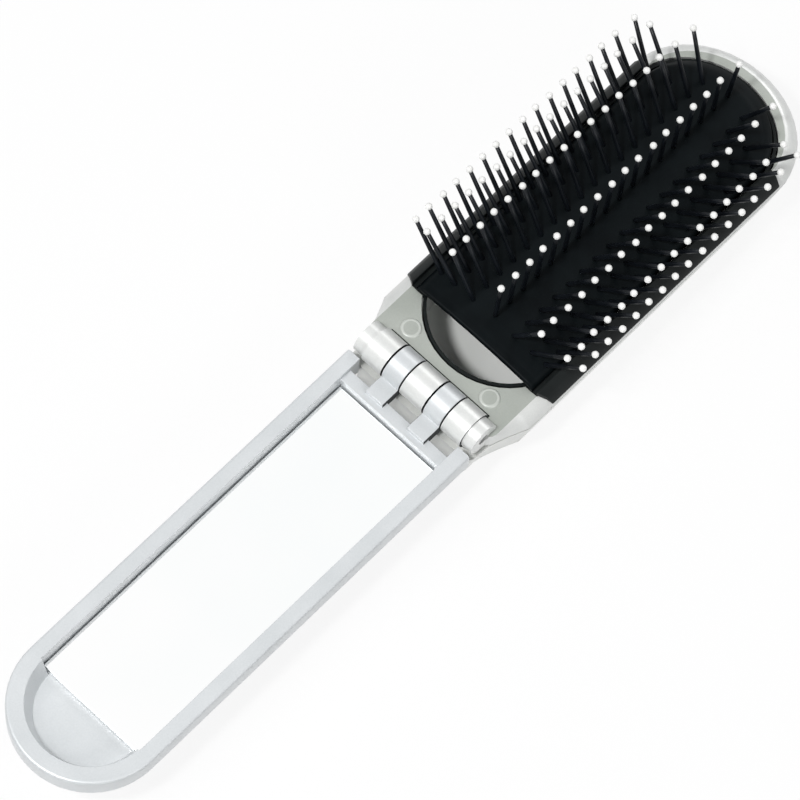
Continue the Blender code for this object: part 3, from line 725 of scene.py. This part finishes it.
def make_strip(name, length, sunk, trunnions):
    """The strip that a row's pins are moulded on, with its rounded edges and, on a side row, the
    trunnions that it turns on."""
    builder = bmesh.new()
    middle_z = -sunk - strip_thickness + strip_thickness / 2
    add_block(builder, (length / 2, 0, middle_z),
              (length + 2 * strip_end, 2 * strip_half_width, strip_thickness))
    bmesh.ops.bevel(builder, geom=builder.edges[:], offset=strip_edge, segments=2, affect="EDGES")
    if trunnions:
        to_trunnion = strip_end + trunnion_length / 2
        for x in (-to_trunnion, length + to_trunnion):
            bmesh.ops.create_cone(
                builder, cap_ends=True, segments=trunnion_sides, radius1=trunnion_radius,
                radius2=trunnion_radius, depth=trunnion_length + strip_end,
                matrix=Matrix.Translation((x, 0, middle_z)) @ Matrix.Rotation(
                    math.radians(90), 4, "Y"))
    return new_piece(name, builder, pin_nylon)


def make_pin_row(node, row, tree, identifiers, seed):
    """Set out a row's pins, join them to their strip, and turn both to the row's splay."""
    sunk = centre_strip_sunk if row.out == 0 else side_strip_sunk
    pins = new_piece(f"{node}_pins", bmesh.new(), pin_nylon)
    setting_out = pins.modifiers.new("pins", "NODES")
    setting_out.node_group = tree
    for name, value in (
            ("Count", row.count), ("Pitch", row.pitch),
            ("Shaft length", row.length + sunk - ball_radius + pin_foot),
            ("First lean", row.first_lean), ("Lean grows", row.lean_grows),
            ("Last lean", far_pin_lean), ("Lean falls by", lean_falls_by),
            ("Twist", math.radians(row.splay_falls)), ("Root radius", shaft_root_radius),
            ("Neck radius", shaft_neck_radius), ("Ball radius", ball_radius), ("Seed", seed),
            ("Shaft material", pin_nylon), ("Tip material", tip_resin)):
        setting_out[identifiers[name]] = value
    settle(pins)

    strip = make_strip(f"{node}_strip", (row.count - 1) * row.pitch, sunk, row.out != 0)
    builder = bmesh.new()
    builder.from_mesh(pins.data)
    bmesh.ops.translate(builder, verts=builder.verts, vec=(0, 0, -sunk - pin_foot))
    pin_faces = len(builder.faces)
    builder.from_mesh(strip.data)
    builder.faces.ensure_lookup_table()
    strip_finish = [slot.material for slot in pins.material_slots].index(pin_nylon)
    for face in builder.faces[pin_faces:]:
        face.material_index = strip_finish
    place = Matrix.Translation((hinge.x + row.first, row.out, rim_z + pad_height(row.out)))
    splay = Matrix.Rotation(math.radians(-row.splay), 4, "X")
    bmesh.ops.transform(builder, matrix=place @ splay, verts=builder.verts)
    builder.to_mesh(pins.data)
    builder.free()
    bpy.data.objects.remove(strip)
    stand_in(pins, node, row.body)


def make_pins():
    """All the rows, from one tree. Each has its own seed, so no two are scattered alike."""
    tree, identifiers = pin_tree()
    for seed, (node, row) in enumerate(PIN_ROWS.items()):
        make_pin_row(node, row, tree, identifiers, seed)


def seen_or_mirrored(tree):
    """1 for rays that come from the camera, a reflection or a clear piece, else 0."""
    path = add_node(tree, "ShaderNodeLightPath").outputs
    either = add_node(tree, "ShaderNodeMath", {
        0: path["Is Camera Ray"], 1: path["Is Glossy Ray"]}, operation="MAXIMUM").outputs[0]
    return add_node(tree, "ShaderNodeMath", {
        0: either, 1: path["Is Transmission Ray"]}, operation="MAXIMUM").outputs[0]


def light_scene():
    """Four soft lamps, and a world that looks white and fills the shadows a little."""
    world = bpy.data.worlds.new("white studio")
    world.use_nodes = True
    tree = world.node_tree
    tree.nodes.clear()
    fill = add_node(tree, "ShaderNodeBackground", {
        "Color": fill_colour, "Strength": fill_strength}).outputs[0]
    shown = add_node(tree, "ShaderNodeBackground", {"Color": white, "Strength": 1.0}).outputs[0]
    mixed = add_node(tree, "ShaderNodeMixShader", {
        0: seen_or_mirrored(tree), 1: fill, 2: shown}).outputs[0]
    add_node(tree, "ShaderNodeOutputWorld", {"Surface": mixed})
    bpy.context.scene.world = world

    for name, (direction, width, power) in LAMPS.items():
        light = bpy.data.lights.new(name, "AREA")
        light.shape = "DISK"
        light.size = width
        light.energy = power
        lamp = bpy.data.objects.new(name, light)
        lamp.location = hinge + direction.normalized() * lamp_distance
        lamp.rotation_euler = (-direction).to_track_quat("-Z", "Y").to_euler()
        bpy.context.scene.collection.objects.link(lamp)


def make_floor():
    """A white studio table. It shows white to the camera, with a soft share of the brush's own
    shadow."""
    builder = bmesh.new()
    bmesh.ops.create_grid(builder, x_segments=2, y_segments=2, size=floor_reach)
    material = bpy.data.materials.new("white_studio_table")
    material.use_nodes = True
    tree = material.node_tree
    tree.nodes.clear()
    paper = add_node(tree, "ShaderNodeBsdfDiffuse", {"Color": linear("#F4F4F4")}).outputs[0]
    glow = add_node(tree, "ShaderNodeEmission", {"Color": white, "Strength": 1.0}).outputs[0]
    share = add_node(tree, "ShaderNodeMath", {
        0: seen_or_mirrored(tree), 1: 1 - floor_shadow_share}, operation="MULTIPLY").outputs[0]
    mixed = add_node(tree, "ShaderNodeMixShader", {0: share, 1: paper, 2: glow}).outputs[0]
    add_node(tree, "ShaderNodeOutputMaterial", {"Surface": mixed})
    new_piece("table", builder, material)


def main_camera():
    """The camera that took the photo, as its fit gives it."""
    lens = bpy.data.cameras.new("camera")
    lens.lens = camera_lens
    lens.sensor_width = camera_sensor_width
    lens.clip_end = camera_sees_to
    camera = bpy.data.objects.new("camera", lens)
    bpy.context.scene.collection.objects.link(camera)
    forward = camera_looks_along.normalized()
    right = forward.cross(camera_up).normalized()
    up = right.cross(forward)
    turn = Matrix((right, up, -forward)).transposed()
    camera.matrix_world = Matrix.Translation(hinge + camera_from_hinge) @ turn.to_4x4()
    bpy.context.scene.camera = camera


main_camera()
light_scene()
make_floor()
make_hard_pieces()
make_pad()
make_pins()
bpy.context.scene.view_settings.view_transform = "Standard"
